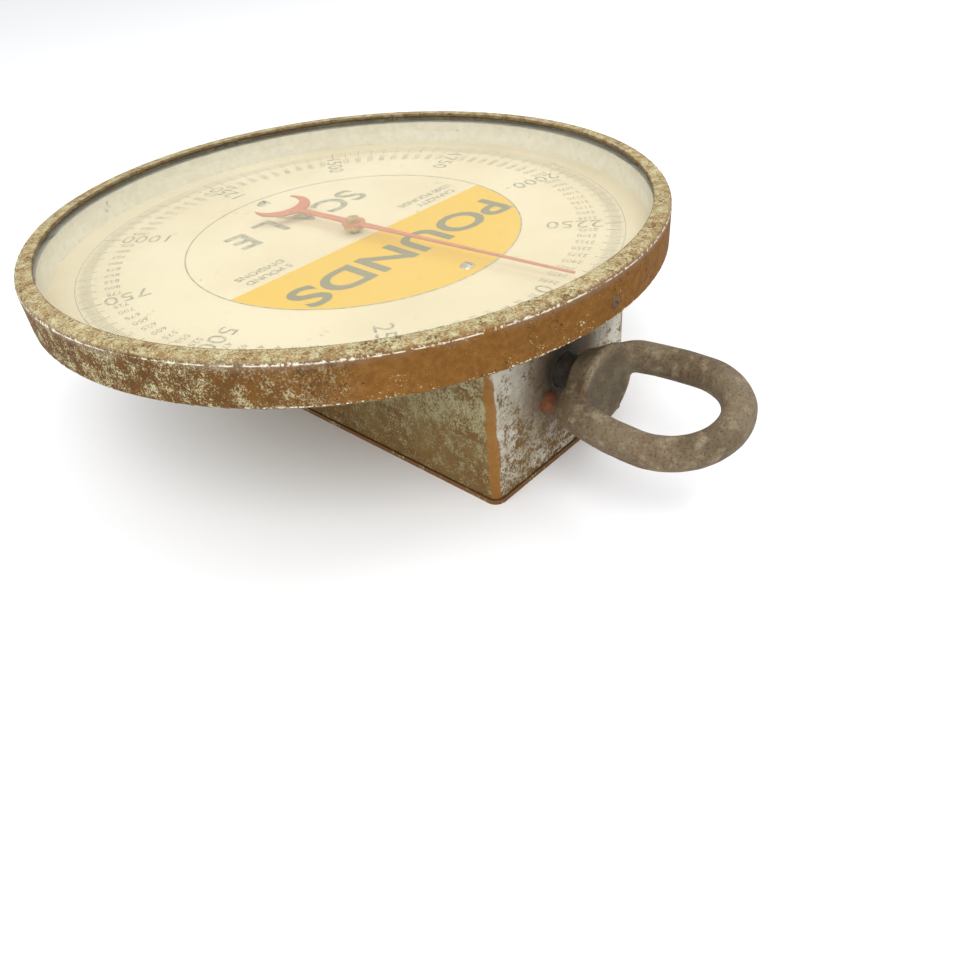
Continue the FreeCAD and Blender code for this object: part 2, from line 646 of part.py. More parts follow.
# ---------------------------------------------------------------- movement
def makeMovement():
    front = newBody("movement_front_plate")
    pad(front, "XY", "plateLow", "webLow", lambda sketch: rectangle(
        sketch, "0 - plateScrewOut - plateMargin", "0 - plateScrewUp - plateMargin",
        "plateScrewOut + plateMargin", "plateScrewUp + plateMargin"))
    back = newBody("movement_back_plate")
    pad(back, "XY", "backPlateLow", "backPlateTop", lambda sketch: rectangle(
        sketch, "0 - pillarOut - plateMargin", "0 - pillarLow - plateMargin",
        "pillarOut + plateMargin", "pillarHigh + plateMargin"))
    pocket(front, "XY", "plateLow", "webLow", holesAt("smallShank", plateScrewSpots))
    for body, low, high, bush in ((front, "plateLow", "webLow", "front_bush"),
                                  (back, "backPlateLow", "backPlateTop", "rear_bush")):
        pocket(body, "XY", low, high, holesAt("bushRadius", middle))
        pocket(body, "XY", low, high, holesAt("smallShank", pillarSpots))
        finish(tube("bushRadius", "arborRadius + arborGap", "%s - %s" % (high, low), z=low), bush)
    group([tube("pillarRadius", "smallShank", "pillarHeight", x, y, "backPlateTop")
           for x, y in pillarSpots], "movement_pillars")
    group([place(domedScrew("smallHead", "smallRise", "smallShank", "webLow - backPlateLow"),
                 x, y, "backPlateLow", turns["-Z"]) for x, y in pillarSpots], "pillar_screws")
    group([place(domedScrew("smallHead", "smallRise", "smallShank", "boxTop - plateLow"),
                 x, y, "plateLow", turns["-Z"]) for x, y in plateScrewSpots], "movement_screws")
    finish(block("guideThick", "2 * pillarHigh", "pillarHeight", "rackBack + guideGap",
                 "0 - pillarHigh", "backPlateTop"), "rack_guide")


def makePinion():
    """Involute teeth on the arbor, with a gap centred on the +X side where the rack meshes."""
    module, line, teeth = number("gearModule"), number("pitchRadius"), int(number("pinionTeeth"))
    pressure = math.radians(20)
    base = line * math.cos(pressure)
    root, tip = line - 0.75 * module, line + 0.75 * module

    def halfAngle(radius):
        """Half of a tooth's angle at a radius, from the involute of the base circle."""
        turn = math.acos(base / radius)
        return (math.pi / (2 * teeth) - number("toothPlay") / line
                + math.tan(pressure) - pressure - math.tan(turn) + turn)

    flank = [(root, halfAngle(base))] + [(r, halfAngle(r)) for r in (base, line, (line + tip) / 2, tip)]
    points = []
    for k in range(teeth):
        centre = 2 * math.pi * (k + 0.5) / teeth
        sides = [(r, centre - a) for r, a in flank] + [(r, centre + a) for r, a in reversed(flank)]
        points += [Vector(r * math.cos(a), r * math.sin(a), number("pinionLow")) for r, a in sides]
    solid = Part.Face(Part.makePolygon(points + points[:1])).extrude(Vector(0, 0, number("pinionHeight")))
    bore = Part.makeCylinder(number("arborRadius"), number("pinionHeight"), Vector(0, 0, number("pinionLow")))
    item = doc.addObject("Part::Feature", "pinion")
    item.Shape = solid.cut(bore)
    finish(item, "pinion")
    finish(cylinder("arborRadius", "pointerTop + pointerNutHeight - arborLow", z="arborLow"), "pinion_arbor")


# ---------------------------------------------------------------- pointer
def makePointer():
    """A flat tapered blade, a round hub and a crescent tail that opens outward."""
    body = newBody("pointer")
    span = ("pointerLow", "pointerTop")
    pad(body, "XY", *span, holesAt("tailRound", [("0", "0 - tailReach")]))
    pocket(body, "XY", *span, holesAt("tailHollow", [("0", "0 - tailReach - tailBite")]))
    side = [("pointerTail", "tailStart"), ("pointerRoot", "0"), ("pointerWaist", "waistReach"),
            ("pointerTip", "pointerReach")]
    mirrored = [("0 - " + x, y) for x, y in reversed(side)]
    pad(body, "XY", *span, lambda sketch: outline(sketch, side + mirrored))
    pad(body, "XY", *span, holesAt("pointerHub", middle))
    pocket(body, "XY", *span, holesAt("arborRadius", middle))
    body.Placement = Placement(Vector(), Rotation(Vector(0, 0, 1), 1))
    bind(body, "Placement.Rotation.Angle", "pointerRest")
    finish(tube("pointerHub - 1", "arborRadius", "hubDepth", z="pointerLow - hubDepth"), "pointer_hub")
    nut = joined([hexagon("pointerNut", "0.55 * pointerNutHeight", z="pointerTop"),
                  cylinder("0.8 * pointerNut", "pointerNutHeight", z="pointerTop")])
    finish(bored(nut, "arborRadius", "pointerNutHeight", z="pointerTop"), "pointer_nut")


# ---------------------------------------------------------------- forged eye, hook and their shafts
def crossPin(reach, y, tilt):
    """A pin through the load axis at y, turned by a tilt about it, that reaches both ways."""
    pin = cylinder("pinRadius", "2 * (%s)" % reach)
    pin.Placement = Placement(Vector(), Rotation(Vector(0, 1, 0), 1))
    bind(pin, "Placement.Rotation.Angle", tilt)
    bind(pin, "Placement.Base.x", "0 - (%s) * sin(%s)" % (reach, tilt))
    bind(pin, "Placement.Base.y", y)
    bind(pin, "Placement.Base.z", "axisHeight - (%s) * cos(%s)" % (reach, tilt))
    return pin


def pinnedShaft(label, pinLabel, radius, low, high, y, tilt):
    """A shaft along the load axis with a cross hole, and the pin that locks the forging on it."""
    shaft = cylinder(radius, "(%s) - (%s)" % (high, low), "0", low, "axisHeight", "Y")
    finish(cut(shaft, crossPin("bossRadius + 2", y, tilt)), label)
    finish(crossPin("bossMean - pinInset", y, tilt), pinLabel)


def washerAndNut(name, radius, washerLow, nutLow):
    finish(tube("washerRadius", radius, "washerThick", "0", washerLow, "axisHeight", "Y"),
           name + "_thrust_washer")
    nut = hexagon("nutRadius * 2 / sqrt(3)", "nutHeight", "0", nutLow, "axisHeight", "Y")
    finish(bored(nut, radius, "nutHeight", "0", nutLow, "axisHeight", "Y"), name + "_nut")


def addBoss(body, side):
    """The forging's boss: a cone about the load axis that widens away from the box."""
    start, end = "%d * bossStart" % side, "%d * bossEnd" % side
    revolve(body, [("0", start), ("bossNeck", start), ("bossRadius", end), ("0", end)], "XY")


def makeEye():
    """The eye is drawn flat about the load axis, then turned to its resting tilt.

    Each leg is a long arc tangent to the end bend, and a corner arc joins it to the straight base.
    """
    body = newBody("top_eye")
    path = newSketch(body, "XY")
    drop = "asin((eyeCentre - eyeBaseLine - eyeCorner) / (legBend - eyeCorner))"
    cornerX = "(eyeBend - legBend + (legBend - eyeCorner) * cos(%s))" % drop
    cornerY = "(eyeBaseLine + eyeCorner)"
    arc(path, "eyeCorner", cornerX, cornerY, "270", "(360 deg - %s)" % drop)
    arc(path, "legBend", "(eyeBend - legBend)", "eyeCentre", "(0 deg - %s)" % drop, "0")
    arc(path, "eyeBend", "0", "eyeCentre", "0", "180")
    arc(path, "legBend", "(legBend - eyeBend)", "eyeCentre", "180", "(180 deg + %s)" % drop)
    arc(path, "eyeCorner", "(0 - %s)" % cornerX, cornerY, "(180 deg + %s)" % drop, "270")
    doc.recompute()
    sweepBar(body, path, "eyeBar")
    pad(body, "YZ", "0 - " + cornerX, cornerX, holesAt("eyeBar", [("eyeBaseLine", "0")]))
    addBoss(body, 1)
    pocket(body, "XZ", "bossStart", "shaftEnd", holesAt("shankRadius", middle))
    pocket(body, "XY", "0 - bossRadius - 2", "bossRadius + 2", holesAt("pinRadius", [("0", "bossMiddle")]))
    body.Placement = Placement(Vector(), Rotation(Vector(0, 1, 0), 1))
    bind(body, "Placement.Base.z", "axisHeight")
    bind(body, "Placement.Rotation.Angle", "eyeTilt")
    washerLow = "upperFace - runGap - washerThick"
    pinnedShaft("eye_shank", "eye_cross_pin", "shankRadius", washerLow + " - nutHeight", "shaftEnd",
                "bossMiddle", "eyeTilt")
    washerAndNut("shank", "shankRadius", washerLow, washerLow + " - nutHeight")


def makeHook():
    """The hook lies in the YZ plane with its back down.

    Its bar leaves the load axis on one arc, which is tangent to the arc of the bowl.
    """
    body = newBody("lower_hook")
    reach = "(hookCentre - shaftEnd)"
    away = "((%s ^ 2 - hookBowl ^ 2) / (2 * hookBowl))" % reach
    swing = "atan(%s / %s)" % (reach, away)
    path = newSketch(body, "YZ")
    arc(path, away, "(0 - shaftEnd)", "(0 - %s)" % away, "90", "(90 deg + %s)" % swing)
    arc(path, "hookBowl", "(0 - hookCentre)", "0", "(90 - hookTipAngle)", "(270 deg + %s)" % swing)
    doc.recompute()
    sweepBar(body, path, "hookBar")
    tipY = "hookBowl * sin(hookTipAngle) - hookCentre"
    roundEdges(body, "0.7 * hookBar", ringEdge("hookBar", tipY, "y"))
    addBoss(body, -1)
    pocket(body, "XZ", "0 - shaftEnd", "0 - bossStart", holesAt("barRadius", middle))
    pocket(body, "YZ", "0 - bossRadius - 2", "bossRadius + 2",
           holesAt("pinRadius", [("0 - bossMiddle", "0")]))
    place(body, z="axisHeight")
    washerLow = "crossTop + runGap"
    pinnedShaft("draw_bar", "hook_cross_pin", "barRadius", "0 - shaftEnd",
                washerLow + " + washerThick + nutHeight", "0 - bossMiddle", "90")
    washerAndNut("draw_bar", "barRadius", washerLow, washerLow + " + washerThick")


# ---------------------------------------------------------------- build, check and write
for make in (makeHousing, makeBackCover, makeDialCase, makeBezel, makeGlass, makeDial, makeFrame,
             makeSprings, makeCrosshead, makeBracket, makeRack, makeMovement, makePinion, makePointer,
             makeEye, makeHook):
    make()
doc.recompute()

for item in doc.Objects:
    if "Invalid" in item.State or "Error" in item.State:
        raise RuntimeError("%s (%s) failed to compute" % (item.Name, item.Label))
for item in finished:
    if item.Shape.isNull() or not item.Shape.isValid():
        raise RuntimeError("%s has no valid shape" % item.Label)
    item.Shape.exportStep("parts/%s.step" % item.Label)
    print("%-24s %d solid(s) %9.2f cm3" % (item.Label, len(item.Shape.Solids), item.Shape.Volume / 1000))
print("wrote %d nodes" % len(finished))
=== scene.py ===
import bpy
import numpy as np
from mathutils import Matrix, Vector


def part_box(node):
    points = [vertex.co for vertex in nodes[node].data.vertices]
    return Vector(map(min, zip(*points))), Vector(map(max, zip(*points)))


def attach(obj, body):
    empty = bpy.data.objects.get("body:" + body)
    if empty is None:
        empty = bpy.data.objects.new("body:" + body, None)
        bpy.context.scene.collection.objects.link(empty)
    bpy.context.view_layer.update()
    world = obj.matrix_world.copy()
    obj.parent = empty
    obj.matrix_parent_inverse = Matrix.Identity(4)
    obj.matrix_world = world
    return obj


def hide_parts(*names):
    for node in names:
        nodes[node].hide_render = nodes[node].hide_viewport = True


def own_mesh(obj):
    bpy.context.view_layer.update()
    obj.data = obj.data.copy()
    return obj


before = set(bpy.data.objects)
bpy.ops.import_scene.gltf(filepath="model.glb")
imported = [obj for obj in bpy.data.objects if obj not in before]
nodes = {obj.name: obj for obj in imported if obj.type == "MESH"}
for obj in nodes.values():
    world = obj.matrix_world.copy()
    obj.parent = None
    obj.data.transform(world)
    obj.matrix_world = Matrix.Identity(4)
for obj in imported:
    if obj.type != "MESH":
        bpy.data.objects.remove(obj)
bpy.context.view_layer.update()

mm = 0.001

# Where things are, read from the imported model. The frame's +Z comes out of the dial and +Y points to the eye.
bezelLow, bezelHigh = (np.array(corner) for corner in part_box("bezel_ring"))
rimRadius = bezelHigh[0]
bezelTop = bezelHigh[2]
bandLow = bezelLow[2]
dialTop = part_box("dial_plate")[1][2]
boxHigh = np.array(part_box("housing")[1])
axisHeight = (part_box("eye_shank")[0][2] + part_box("eye_shank")[1][2]) / 2
print("frame loaded:", len(nodes), "nodes")


# Shader maths
class Wave:
    # one output socket; arithmetic on it adds Math nodes to its material
    def __init__(self, surface, socket):
        self.surface, self.socket = surface, socket

    def math(self, operation, *values):
        inputs = dict(enumerate((self,) + values))
        return self.surface.node("ShaderNodeMath", {"operation": operation}, inputs)

    def __add__(self, other): return self.math("ADD", other)
    __radd__ = __add__
    def __sub__(self, other): return self.math("SUBTRACT", other)
    def __rsub__(self, other): return self.math("MULTIPLY_ADD", -1.0, other)
    def __mul__(self, other): return self.math("MULTIPLY", other)
    __rmul__ = __mul__
    def __truediv__(self, other): return self.math("DIVIDE", other)
    def __pow__(self, other): return self.math("POWER", other)


class Surface:
    # a material while its nodes are put together
    def __init__(self, name):
        self.material = bpy.data.materials.new(name)
        self.material.use_nodes = True
        self.tree = self.material.node_tree
        self.tree.nodes.clear()
        self.place = self.node("ShaderNodeTexCoord", output="Object")

    def node(self, kind, settings=None, inputs=None, output=0):
        made = self.tree.nodes.new(kind)
        for name, value in (settings or {}).items():
            setattr(made, name, value)
        for key, value in (inputs or {}).items():
            socket = made.inputs[key]
            if isinstance(value, Wave):
                self.tree.links.new(value.socket, socket)
            else:
                wide = socket.type == "RGBA" and len(value) == 3
                socket.default_value = (*value, 1) if wide else value
        return Wave(self, made.outputs[output])

    def axes(self):
        whole = self.node("ShaderNodeSeparateXYZ", inputs={0: self.place})
        outputs = whole.socket.node.outputs
        return [Wave(self, outputs[k]) for k in range(3)]

    # scale counts blobs in a metre; stretch squeezes the pattern along an axis
    def noise(self, scale, detail=3, roughness=0.55, stretch=(1, 1, 1), seed=0.0):
        spot = self.place
        if stretch != (1, 1, 1) or seed:
            spot = self.node("ShaderNodeMapping", inputs={"Vector": spot, "Scale": stretch,
                                                          "Location": (seed, seed * 0.7, -seed)})
        return self.node("ShaderNodeTexNoise", inputs={"Vector": spot, "Scale": scale, "Detail": detail,
                                                       "Roughness": roughness})

    # 0 below low, 1 above high, and a smooth rise between them
    def rise(self, value, low, high):
        return self.node("ShaderNodeMapRange", {"interpolation_type": "SMOOTHSTEP"},
                         {0: value, 1: low, 2: high})

    def mix(self, factor, first, second):
        return self.node("ShaderNodeMix", {"data_type": "RGBA"}, {0: factor, 6: first, 7: second}, output=2)

    # speckle whose cover grows with amount, which is a number or a Wave from 0 to 1
    def speckle(self, amount, fine=420, coarse=60, seed=0.0, edge=0.05):
        grain = self.noise(fine, 5, 0.7, seed=seed) * 0.6 + self.noise(coarse, 4, 0.65, seed=seed + 3) * 0.4
        level = 0.64 - 0.28 * amount
        return self.rise(grain - level, -edge * 0.5, edge * 0.5)

    def finish(self, colour, roughness, metallic=0.0, height=None, depth=0.0002, coat=0.0, specular=0.5):
        inputs = {"Base Color": colour, "Roughness": roughness, "Metallic": metallic,
                  "Coat Weight": coat, "Specular IOR Level": specular}
        if height is not None:
            inputs["Normal"] = self.node("ShaderNodeBump", inputs={"Height": height, "Distance": depth})
        shader = self.node("ShaderNodeBsdfPrincipled", inputs=inputs)
        return self.show(shader)

    def show(self, shader):
        end = self.tree.nodes.new("ShaderNodeOutputMaterial")
        self.tree.links.new(shader.socket, end.inputs["Surface"])
        return self.material


def dress(material, *names):
    for name in names:
        slots = nodes[name].data.materials
        slots.clear()
        slots.append(material)


# Bezel: speckled paint on the lip, rust round the band, bright chipped edges with painted glints, and a painted
# sheen on the shoulder
bezelLook = {
    "cream": (0.54, 0.50, 0.30), "green": (0.38, 0.365, 0.21), "dark": (0.070, 0.036, 0.012),
    "rust": (0.158, 0.066, 0.013), "rustLight": (0.215, 0.098, 0.022), "paintedSheen": (0.19, 0.130, 0.092),
    "olive": (0.25, 0.175, 0.085), "bright": (0.68, 0.64, 0.50),
    # angles from +X, in radians, where the band turns from flecked to plain rust and back again
    "rustFrom": 0.36, "rustTo": 0.82, "rustBack": (2.0, 2.6),
    # depths below the top, in mm, where the lip, the painted sheen, the chipped ridge and its painted highlight
    # line start and stop
    "lip": (2.2, 0.6), "sheen": (7.5, 3.0),
    "ridge": ((3.8, 2.6), (2.4, 1.3)), "line": ((3.2, 2.9), (2.6, 2.3)),
    # heights above the lower edge of the chipped foot, and distances in from the rim of the darkening at the
    # lip's inner edge
    "foot": (0.3, 1.1), "inner": (11.2, 10.4),
}


def bezelPaint():
    look = bezelLook
    s = Surface("bezelPaint")
    x, y, z = s.axes()
    radius = (x * x + y * y) ** 0.5
    turn = y.math("ARCTAN2", x)
    wander = s.noise(9, 3) * 0.9 - 0.45
    # the share of rust rises with the angle, and falls again round the back
    rusted = s.rise(turn + wander, look["rustFrom"], look["rustTo"]) * (1 - s.rise(turn, *look["rustBack"]))

    # 0 below the first depth under the top and 1 above the second
    def over(depths):
        return s.rise(z, bezelTop - depths[0] * mm, bezelTop - depths[1] * mm)

    lip = over(look["lip"])
    tone = s.noise(240, 4, 0.65)
    paint = s.mix(s.noise(35, 3), look["cream"], look["green"])
    dirt = s.mix(tone, look["dark"], look["rust"])
    dirt = s.mix(s.rise(s.noise(70, 3, seed=9.0), 0.4, 0.65) * 0.5, dirt, look["dark"])
    flecked = s.mix(s.speckle(0.69, 950, 120, 1.0, 0.12), paint, dirt)
    worn = s.mix(tone, look["olive"], look["rustLight"])
    lipColour = s.mix(s.speckle(0.54, 850, 160, 2.0, 0.18), paint, worn)
    lipColour = s.mix(s.speckle(0.28, 420, 60, 8.0, 0.1) * 0.8, lipColour, look["dark"])
    plain = s.mix(s.rise(tone, 0.3, 0.7), look["rust"], look["rustLight"])
    plain = s.mix(s.rise(s.noise(45, 4), 0.35, 0.7) * 0.20, plain, look["dark"])
    plain = s.mix(s.speckle(0.18, 500, 30, 4.0), plain, look["dark"])
    plain = s.mix(s.speckle(0.06, 700, 40, 5.0), plain, look["cream"])
    band = s.mix(rusted, flecked, plain)
    # a painted grey-mauve sheen, the sky's reflection, where the top edge turns over
    shoulder = over(look["sheen"]) * (1 - lip)
    band = s.mix(shoulder * 0.55 * s.rise(s.noise(20, 2), 0.35, 0.6), band, look["paintedSheen"])
    colour = s.mix(lip, band, lipColour)
    # chips along the shoulder and the lower edge show bright metal
    chipNoise = s.noise(420, 4, 0.7, seed=7.0)
    ridge = over(look["ridge"][0]) * (1 - over(look["ridge"][1]))
    foot = 1 - s.rise(z, bandLow + look["foot"][0] * mm, bandLow + look["foot"][1] * mm)
    patches = s.rise(chipNoise + s.noise(14, 2, seed=2.0) * 0.45, 0.76, 0.83)
    chips = patches * (ridge + foot).math("MINIMUM", 1.0)
    # chips along the shoulder and the lower edge show bright metal, and those on the shoulder are also painted
    # glints
    line = over(look["line"][0]) * (1 - over(look["line"][1]))
    chips = chips.math("MAXIMUM", line * s.rise(s.noise(190, 4, 0.7, seed=11.0), 0.44, 0.56) * 0.9)
    colour = s.mix(chips, colour, look["bright"])
    # darker towards the inner edge of the lip, where it meets the glass
    inner = 1 - s.rise(radius, rimRadius - look["inner"][0] * mm, rimRadius - look["inner"][1] * mm)
    colour = s.mix(inner * 0.5, colour, look["dark"])
    height = tone * 0.5 + s.noise(900, 3, 0.6) * 0.3 - chips * 0.2
    roughness = 0.78 - chips * 0.25 - shoulder * 0.18
    return s.finish(colour, roughness, 0.0, height, 0.35 * mm, specular=0.08)


dress(bezelPaint(), "bezel_ring")
print("bezel painted")

# Box housing, back cover and dial case
boxLook = {
    "paint": (0.370, 0.345, 0.200), "pale": (0.54, 0.52, 0.44), "green": (0.270, 0.250, 0.135),
    "rust": (0.190, 0.092, 0.022), "orange": (0.27, 0.112, 0.020), "dark": (0.080, 0.048, 0.018),
    "film": (0.185, 0.122, 0.045), "greaseAndShadow": (0.030, 0.024, 0.018), "stain": (0.13, 0.085, 0.05),
    "coverEdge": (0.150, 0.070, 0.024), "seam": (0.040, 0.020, 0.010),
    # the strips' width and their rounded edge, and the depth of an end wall's face, in mm
    "strip": (8.0, 1.5), "wall": (1.5, 0.2),
    # how far the grease with the boss's painted shadow, and the stain, reach from the load axis, in mm
    "greaseShadowReach": (24, 40), "stainReach": (34, 66),
}


def boxPaint(name, cover=False):
    look = boxLook
    s = Surface(name)
    x, y, z = s.axes()
    sideX, sideY = x.math("ABSOLUTE"), y.math("ABSOLUTE")

    # 0 further in from the box's side than the first distance and 1 closer to it than the second
    def near(value, side, reach):
        return s.rise(value, side - reach[0] * mm, side - reach[1] * mm)

    # the end wall below the eye, and both end walls
    face = near(y, boxHigh[1], look["wall"])
    ends = near(sideY, boxHigh[1], look["wall"])
    paint = s.mix(s.rise(s.noise(16, 3), 0.35, 0.65), look["paint"], look["green"])
    paint = s.mix(face, paint, look["pale"])
    tone = s.noise(260, 4, 0.65, seed=1.0)
    rust = s.mix(tone, look["dark"], look["rust"])
    # rust thickens towards the foot and in long brushed streaks
    low = 1 - s.rise(z, 6 * mm, 80 * mm)
    streak = s.rise(s.noise(55, 3, 0.6, (1, 0.35, 1.6), 2.0), 0.50, 0.72)
    amount = 0.36 + streak * 0.34 + low * 0.36 - face * 0.17
    colour = s.mix(s.speckle(amount, 640, 120, 3.0, 0.14), paint, rust)
    # thin brown film between the specks
    colour = s.mix(s.rise(s.noise(38, 4, 0.6, seed=8.0), 0.38, 0.66) * 0.5, colour, look["film"])
    # an orange strip down each corner, ragged and narrower towards the top
    strip = near(sideX, boxHigh[0], look["strip"]) * near(sideY, boxHigh[1], look["strip"])
    ragged = s.noise(70, 3, 0.6, (1, 1, 0.5), 5.0)
    flaked = s.noise(90, 5, 0.75, (1, 1, 0.4), 6.0) * 1.8
    corner = s.rise(strip * 0.9 - s.rise(z, 45 * mm, 100 * mm) * 0.16 + flaked, 1.20, 1.42)
    corner = corner * s.rise(strip, 0.0, 0.08)
    colour = s.mix(corner * 0.9, colour, s.mix(tone, look["rust"], look["orange"]))
    # rust and stain round the shaft on each end wall
    spread = ((x * x + (z - axisHeight) * (z - axisHeight)) ** 0.5) / mm + ragged * 22
    grime = (1 - s.rise(spread, *look["stainReach"])) * ends
    colour = s.mix(grime * 0.88, colour, s.mix(tone, look["dark"], look["stain"]))
    # closest to the shaft, grease and the painted shadow behind the boss turn it near black
    greaseShadow = (1 - s.rise(spread, *look["greaseShadowReach"])) * ends
    colour = s.mix(greaseShadow * 0.8, colour, look["greaseAndShadow"])
    # shade and dirt lie under the dial case
    under = s.rise(z, 88 * mm, 103 * mm) * s.rise(ragged, 0.35, 0.6)
    colour = s.mix(under * 0.45, colour, look["dark"])
    if cover:
        edge = s.mix(s.rise(tone, 0.3, 0.8) * 0.6, look["coverEdge"], look["rust"])
        edge = s.mix(s.speckle(0.20, 400, 60, 6.0), edge, look["paint"])
        colour = s.mix(s.rise(z, 3.0 * mm, 3.4 * mm) * 0.8, edge, look["seam"])
    height = tone * 0.6 + s.noise(800, 3) * 0.25
    return s.finish(colour, 0.72 - s.noise(120, 2) * 0.12, 0.0, height, 0.25 * mm, specular=0.12)


dress(boxPaint("boxPaint"), "housing", "dial_case")
dress(boxPaint("coverPaint", cover=True), "back_cover")
print("box painted")

# Plain metals, one recipe with its own numbers for each
metalLook = {
    # name: colour, second colour, share of rust, roughness, metallic
    "turnedSteel": ((0.42, 0.42, 0.42), (0.30, 0.29, 0.28), 0.10, 0.34, 1.0),
    "machinedBlock": ((0.30, 0.30, 0.30), (0.20, 0.19, 0.18), 0.20, 0.45, 1.0),
    "springWire": ((0.17, 0.18, 0.20), (0.10, 0.10, 0.11), 0.08, 0.36, 1.0),
    "screwSteel": ((0.120, 0.062, 0.028), (0.075, 0.038, 0.016), 0.60, 0.80, 0.0),
    "dialScrew": ((0.52, 0.51, 0.47), (0.40, 0.38, 0.33), 0.05, 0.35, 0.9),
    "boltRust": ((0.115, 0.034, 0.011), (0.165, 0.056, 0.017), 0.25, 0.85, 0.0),
    "brass": ((0.55, 0.37, 0.14), (0.42, 0.27, 0.10), 0.05, 0.42, 0.4),
    "bronze": ((0.38, 0.24, 0.12), (0.28, 0.18, 0.10), 0.05, 0.45, 1.0),
    # near black for grease and for the painted shade in the dark gap behind the boss
    "greasyShadedShaft": ((0.018, 0.014, 0.010), (0.045, 0.034, 0.024), 0.20, 0.90, 0.0),
    "sealRubber": ((0.045, 0.038, 0.030), (0.070, 0.058, 0.044), 0.0, 0.8, 0.0),
    "ringWall": ((0.74, 0.73, 0.68), (0.66, 0.64, 0.57), 0.04, 0.6, 0.0),
}
rustLook = {"dark": (0.10, 0.045, 0.02), "light": (0.25, 0.10, 0.035)}


def metal(name):
    first, second, rustShare, roughness, metallic = metalLook[name]
    s = Surface(name)
    tone = s.noise(180, 4, 0.6)
    colour = s.mix(s.rise(tone, 0.35, 0.65), first, second)
    rust = s.speckle(rustShare * 0.6, 380, 70, 2.0) if rustShare else 0.0
    shine = metallic
    if rustShare:
        colour = s.mix(rust * 0.8, colour, s.mix(s.noise(500, 2), rustLook["dark"], rustLook["light"]))
        shine = metallic - rust * metallic * 0.9
    return s.finish(colour, tone * 0.2 + (roughness - 0.1), shine, tone + s.noise(900, 2) * 0.4, 0.08 * mm)


dress(metal("turnedSteel"), "tie_rod_left", "tie_rod_right", "rod_lock_nuts", "stop_sleeves", "rest_collars",
      "shank_thrust_washer", "shank_nut", "draw_bar_thrust_washer", "draw_bar_nut", "rack_bracket",
      "pinion_arbor", "rack_guide")
dress(metal("machinedBlock"), "upper_block", "lower_block", "crosshead")
dress(metal("screwSteel"), "back_cover_screws", "case_screws", "bezel_screws", "rack_bracket_screws",
      "rack_screw", "pillar_screws", "movement_screws")
dress(metal("dialScrew"), "dial_screws")
dress(metal("boltRust"), "upper_end_bolts", "lower_end_bolts")
dress(metal("brass"), "dial_standoffs", "front_bush", "rear_bush", "movement_front_plate",
      "movement_back_plate", "movement_pillars", "pinion", "pointer_hub", "pointer_nut", "rack")
dress(metal("bronze"), "upper_bush", "lower_bush", "guide_bushes")
dress(metal("greasyShadedShaft"), "eye_shank", "draw_bar", "eye_cross_pin", "hook_cross_pin")
dress(metal("sealRubber"), "upper_seal", "lower_seal", "glass_gasket")
dress(metal("ringWall"), "spacer_ring")
print("metals done")

# Dial, its printing and the pointer
dialLook = {
    "cream": (0.76, 0.68, 0.53), "creamDull": (0.70, 0.61, 0.45), "yellow": (0.75, 0.455, 0.001),
    "foxing": (0.40, 0.24, 0.11), "circleRadius": 113 * mm, "chord": 12.3 * mm,
    "pointer": (0.50, 0.085, 0.048), "pointerWorn": (0.58, 0.20, 0.12), "pointerChip": (0.20, 0.07, 0.04),
}
printLook = {
    "ink": (0.22, 0.225, 0.195), "inkWorn": (0.45, 0.43, 0.34), "inkField": (0.115, 0.120, 0.070),
    "lift": 0.12 * mm, "bold": 0.022,
    "bigStep": 250, "fullScale": 2500, "smallStep": 25, "tickStep": 5,
    "bigOuter": 166.6 * mm, "bigHeight": 12.0 * mm, "smallOuter": 163.5 * mm, "smallHeight": 4.6 * mm,
    # the ticks' inner radii, outer radii and half widths, the longest first, and each ring's radius and width
    "tickInner": (167.8, 168.4, 171.6), "tickOuter": (180.0, 178.6), "tickHalf": (0.55, 0.38, 0.24),
    "rings": ((113.0, 1.0), (181.2, 0.45)), "ringSteps": 240,
    "word": "POUNDS", "wordHeight": 30 * mm, "wordPlace": (0.0, 50 * mm),
    "scaleLetters": {"S": (-47, -57, 8), "C": (-26.5, -55, 4), "A": (0, -57, 0), "L": (26.5, -59, -2),
                     "E": (53.0, -55, -4)},
    "scaleHeight": 27 * mm,
    # a letter's or a line's place and then its lean in degrees or its height, in mm
    "lines": [("5 POUND", 76, 4, 6.0), ("DIVISIONS", 76, -6, 6.0), ("CAPACITY", -76, 4, 6.0),
              ("2500 POUNDS", -74, -6, 6.0)],
}


def dialFace():
    look = dialLook
    s = Surface("dialFace")
    x, y, z = s.axes()
    radius = (x * x + y * y) ** 0.5
    cream = s.mix(s.rise(s.noise(11, 3), 0.35, 0.7), look["cream"], look["creamDull"])
    inside = 1 - s.rise(radius, look["circleRadius"] - 0.4 * mm, look["circleRadius"])
    above = s.rise(y, look["chord"], look["chord"] + 0.4 * mm)
    worn = s.rise(s.noise(130, 4, 0.7, seed=3.0), 0.25, 0.42)
    colour = s.mix(inside * above * (0.86 + worn * 0.14), cream, look["yellow"])
    # brown foxing in small spots and a darker stain towards the rim
    spots = s.speckle(0.035, 260, 30, 9.0)
    colour = s.mix(spots * 0.65, colour, look["foxing"])
    rim = s.rise(radius, 150 * mm, 200 * mm) * s.rise(s.noise(7, 2, seed=5.0), 0.4, 0.7)
    colour = s.mix(rim * 0.16, colour, look["foxing"])
    return s.finish(colour, 0.55, 0.0, s.noise(300, 2), 0.02 * mm, specular=0.15)


